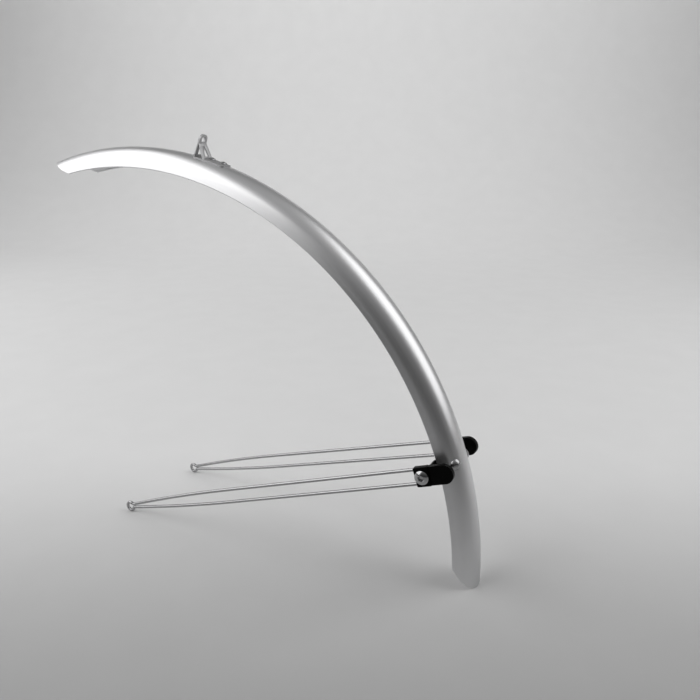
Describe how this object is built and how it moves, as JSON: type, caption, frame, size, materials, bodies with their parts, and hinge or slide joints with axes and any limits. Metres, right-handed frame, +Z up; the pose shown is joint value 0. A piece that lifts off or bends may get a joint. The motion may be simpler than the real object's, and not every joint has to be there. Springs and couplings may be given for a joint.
{
  "type": "bicycle front mudguard",
  "caption": "Long curved bicycle mudguard with a round-topped aluminium blade, a fork-crown bracket riveted on top and wire stays clamped in black clips.",
  "frame": {"origin": "on the floor, below the middle of the overall length, in the middle plane of the blade", "axes": "+X to the rear of the bicycle, +Y to the rider's right, +Z up; the wheel axle is parallel to Y"},
  "size_m": [0.4538, 0.1004, 0.3662],
  "materials": {
    "blade_aluminium": "satin polished",
    "bracket_steel": "zinc plated",
    "rivet_metal": "satin",
    "strap_black": "black powder coat",
    "clip_plastic": "smooth moulded black",
    "fastener_steel": "bright plated",
    "stay_wire": "drawn stainless wire"
  },
  "bodies": {
    "root": {"blade": "blade_aluminium", "crown_bracket": "bracket_steel", "front_bracket_rivet": "rivet_metal", "front_bracket_washer": "bracket_steel", "left_bridge_rivet": "rivet_metal", "left_clamp_nut": "fastener_steel", "left_clamp_screw": "fastener_steel", "left_clip_back": "clip_plastic", "left_clip_front": "clip_plastic", "left_stay": "stay_wire", "rear_bracket_rivet": "rivet_metal", "rear_bracket_washer": "bracket_steel", "right_bridge_rivet": "rivet_metal", "right_clamp_nut": "fastener_steel", "right_clamp_screw": "fastener_steel", "right_clip_back": "clip_plastic", "right_clip_front": "clip_plastic", "right_stay": "stay_wire", "stay_bridge": "strap_black"}
  },
  "joints": []
}
